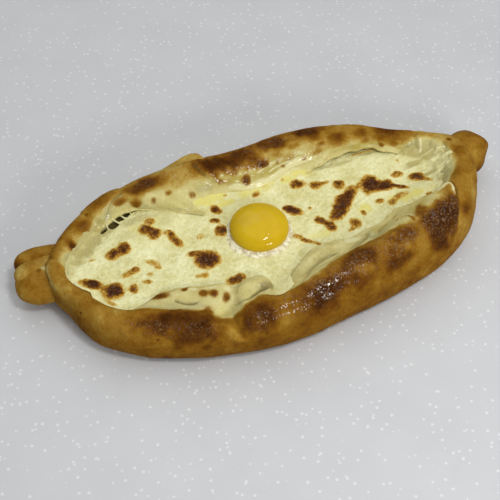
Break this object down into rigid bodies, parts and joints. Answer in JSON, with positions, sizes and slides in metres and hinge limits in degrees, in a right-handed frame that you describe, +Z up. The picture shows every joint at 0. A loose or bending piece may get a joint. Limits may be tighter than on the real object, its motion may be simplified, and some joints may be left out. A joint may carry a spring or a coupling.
{
  "type": "boat-shaped cheese bread with egg",
  "caption": "Open boat-shaped loaf with a rolled rim, a twisted knob at each end, baked cheese filling and an egg yolk on top.",
  "frame": {"origin": "middle of the flat underside, under the middle of the loaf's length and width", "axes": "+X along the loaf to its single twisted knob, +Y across it to the side with the small ear of dough, +Z up"},
  "size_m": [0.3222, 0.1444, 0.0421],
  "materials": {
    "crust": "buttered baked crust, golden with dark brown blotches, pale inside the rim",
    "cheese": "moist baked cheese, pale cream with brown scorched spots",
    "egg_white": "thin set egg white, wet and slightly clear",
    "egg_yolk": "wet, smooth, deep yellow"
  },
  "bodies": {
    "root": {"bread": "crust", "cheese": "cheese", "egg_white": "egg_white", "egg_yolk": "egg_yolk"}
  },
  "joints": []
}
